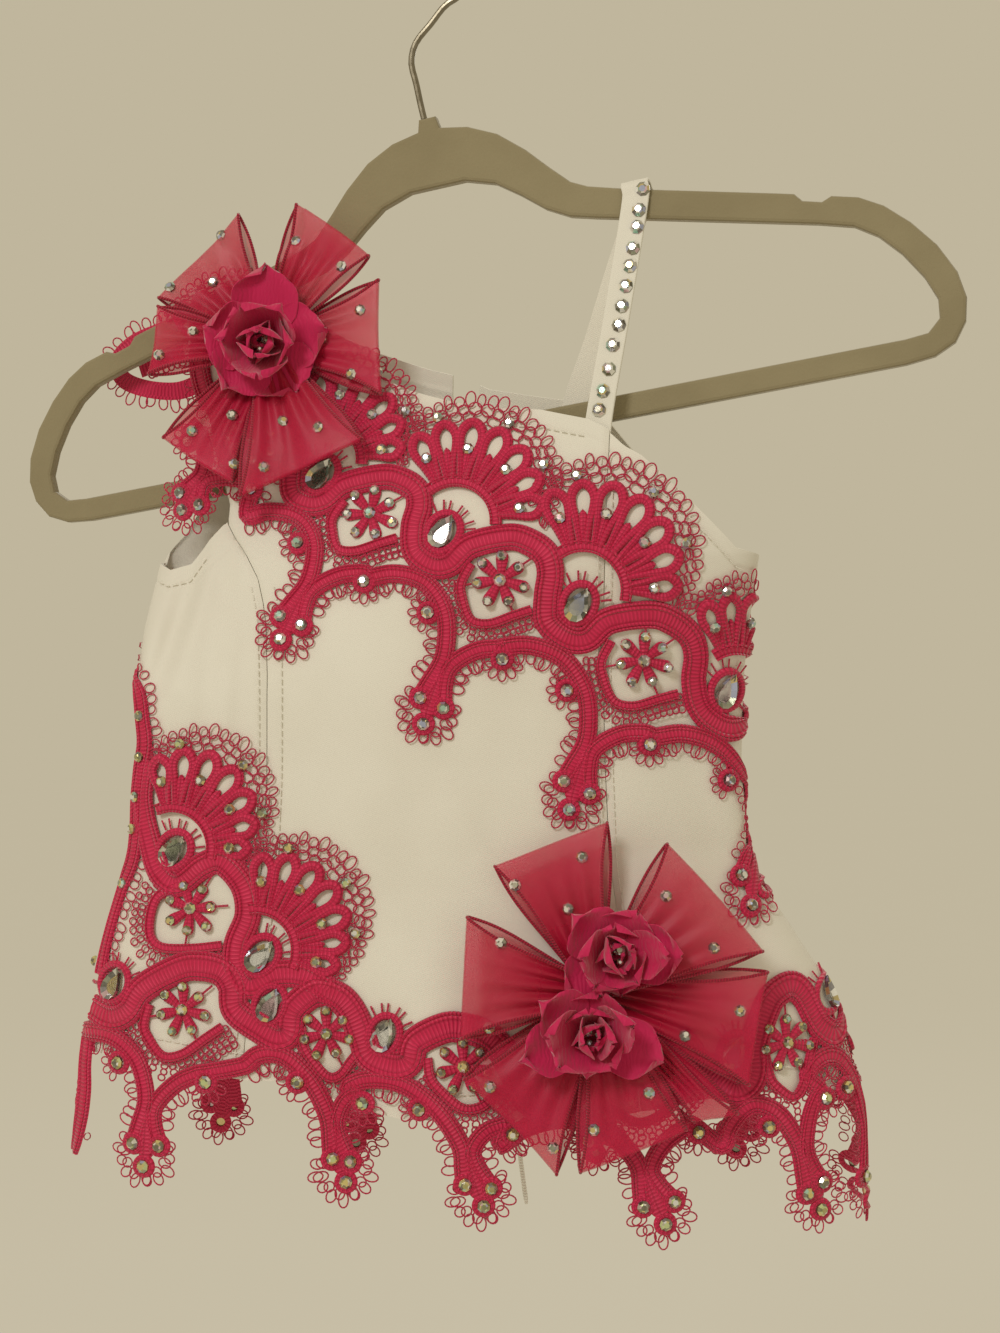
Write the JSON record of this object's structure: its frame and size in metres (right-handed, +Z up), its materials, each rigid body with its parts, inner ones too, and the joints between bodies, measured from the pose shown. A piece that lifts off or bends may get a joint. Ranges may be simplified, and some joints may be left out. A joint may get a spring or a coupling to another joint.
{
  "type": "one-shoulder pageant top on a flocked hanger",
  "caption": "Child's fitted one-shoulder pageant top in white knit with pink lace, ribbon bows and a crystal strap, hanging on a flocked hanger.",
  "frame": {"origin": "the point inside the top of the hanger's hook that rests on a rail", "axes": "+Z up, +X to the right of someone who faces the front, the front faces -Y; the hanger tilts 8.8 degrees and turns 15.3 degrees about the upright, as it hangs"},
  "size_m": [0.3411, 0.1114, 0.4766],
  "materials": {
    "white_knit": "smooth matt double knit",
    "hanger_velvet": "flocked, greige",
    "hook_wire": "polished wire",
    "pink_lace": "corded chemical lace, raspberry pink",
    "pink_organza": "sheer crisp organza ribbon with a rolled cord edge",
    "pink_chiffon": "crinkled matt chiffon",
    "white_cord": "round satin lacing cord"
  },
  "bodies": {
    "root": {"hanger_frame": "hanger_velvet", "hanger_hook": "hook_wire", "front_centre": "white_knit", "front_side_left": "white_knit", "front_side_right": "white_knit", "back_right": "white_knit", "back_left": "white_knit", "crystal_strap": "white_knit", "lace_diagonal": "pink_lace", "lace_hem_front": "pink_lace", "lace_shoulder_back": "pink_lace", "lace_hem_back_right": "pink_lace", "lace_hem_back_left": "pink_lace", "upper_bow_loop_1": "pink_organza", "upper_bow_loop_2": "pink_organza", "upper_bow_loop_3": "pink_organza", "upper_bow_loop_4": "pink_organza", "upper_bow_loop_5": "pink_organza", "upper_bow_loop_6": "pink_organza", "upper_bow_bloom_1": "pink_chiffon", "lower_bow_loop_1": "pink_organza", "lower_bow_loop_2": "pink_organza", "lower_bow_loop_3": "pink_organza", "lower_bow_loop_4": "pink_organza", "lower_bow_loop_5": "pink_organza", "lower_bow_loop_6": "pink_organza", "lower_bow_loop_7": "pink_organza", "lower_bow_bloom_1": "pink_chiffon", "lower_bow_bloom_2": "pink_chiffon", "lacing_left": "white_cord", "lacing_right": "white_cord", "cord_end_left": "white_cord", "cord_end_right": "white_cord"}
  },
  "joints": []
}
